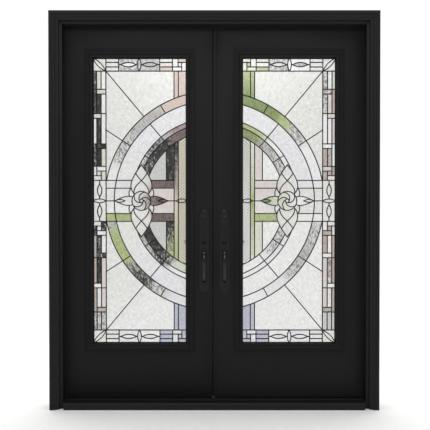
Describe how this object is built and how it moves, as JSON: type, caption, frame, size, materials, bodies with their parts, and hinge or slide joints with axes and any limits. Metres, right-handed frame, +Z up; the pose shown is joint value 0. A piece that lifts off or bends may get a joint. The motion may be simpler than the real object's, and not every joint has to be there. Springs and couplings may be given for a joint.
{
  "type": "double fibreglass entry door with leaded glass",
  "caption": "Black double entry door in a moulded frame, with tall leaded-glass lites, long-plate handles, butt hinges and a sill; both doors swing inwards.",
  "frame": {"origin": "middle of the sill's underside, on the plane of the wall's outer face", "axes": "+X to the right seen from outside, +Y into the house, +Z up"},
  "size_m": [1.744, 0.209, 2.1071],
  "materials": {
    "slab": "satin black paint on smooth moulded fibreglass skin",
    "trim": "satin black paint on composite jamb and moulding",
    "seal": "black foam and fin seals",
    "sill": "black anodised aluminium",
    "hardware": "satin black coated metal",
    "came": "dark patinated lead came",
    "glass": "rippled clear and softly tinted glass"
  },
  "bodies": {
    "frame": {"jamb_left": "trim", "jamb_right": "trim", "jamb_head": "trim", "brickmould_left": "trim", "brickmould_right": "trim", "brickmould_head": "trim", "weatherstrip_left": "seal", "weatherstrip_right": "seal", "weatherstrip_head": "seal", "sill": "sill", "left_top_hinge_frame_leaf": "hardware", "left_middle_hinge_frame_leaf": "hardware", "left_bottom_hinge_frame_leaf": "hardware", "right_top_hinge_frame_leaf": "hardware", "right_middle_hinge_frame_leaf": "hardware", "right_bottom_hinge_frame_leaf": "hardware"},
    "left_door": {"left_slab": "slab", "left_lite_frame_exterior": "slab", "left_lite_frame_interior": "slab", "left_glass": "glass", "left_came": "came", "left_exterior_plate": "hardware", "left_interior_plate": "hardware", "left_grip": "hardware", "left_sweep": "seal", "left_top_hinge_door_leaf": "hardware", "left_middle_hinge_door_leaf": "hardware", "left_bottom_hinge_door_leaf": "hardware"},
    "right_door": {"right_slab": "slab", "right_lite_frame_exterior": "slab", "right_lite_frame_interior": "slab", "right_glass": "glass", "right_came": "came", "right_exterior_plate": "hardware", "right_interior_plate": "hardware", "right_grip": "hardware", "right_sweep": "seal", "right_top_hinge_door_leaf": "hardware", "right_middle_hinge_door_leaf": "hardware", "right_bottom_hinge_door_leaf": "hardware", "astragal": "trim"},
    "left_thumb": {"left_thumb_latch": "hardware"},
    "left_lever": {"left_lever": "hardware"},
    "right_thumb": {"right_thumb_latch": "hardware"},
    "right_lever": {"right_lever": "hardware"}
  },
  "joints": [
    {"name": "left_door_swing", "type": "hinge", "parent": "frame", "child": "left_door", "pos_m": [-0.818, 0.1223, 1], "axis": [0, 0, 1], "range_deg": [0, 110]},
    {"name": "left_thumb_press", "type": "hinge", "parent": "left_door", "child": "left_thumb", "pos_m": [-0.055, 0.0692, 0.882], "axis": [1, 0, 0], "range_deg": [0, 12], "stiffness_Nm_per_rad": 0.4, "springref_deg": -17.19},
    {"name": "left_lever_turn", "type": "hinge", "parent": "left_door", "child": "left_lever", "pos_m": [-0.055, 0.1203, 0.882], "axis": [0, -1, 0], "range_deg": [0, 45], "stiffness_Nm_per_rad": 1.2, "springref_deg": -22.92},
    {"name": "right_door_swing", "type": "hinge", "parent": "frame", "child": "right_door", "pos_m": [0.818, 0.1223, 1], "axis": [0, 0, -1], "range_deg": [0, 110]},
    {"name": "right_thumb_press", "type": "hinge", "parent": "right_door", "child": "right_thumb", "pos_m": [0.055, 0.0692, 0.882], "axis": [1, 0, 0], "range_deg": [0, 12], "stiffness_Nm_per_rad": 0.4, "springref_deg": -17.19},
    {"name": "right_lever_turn", "type": "hinge", "parent": "right_door", "child": "right_lever", "pos_m": [0.055, 0.1203, 0.882], "axis": [0, 1, 0], "range_deg": [0, 45], "stiffness_Nm_per_rad": 1.2, "springref_deg": -22.92}
  ]
}
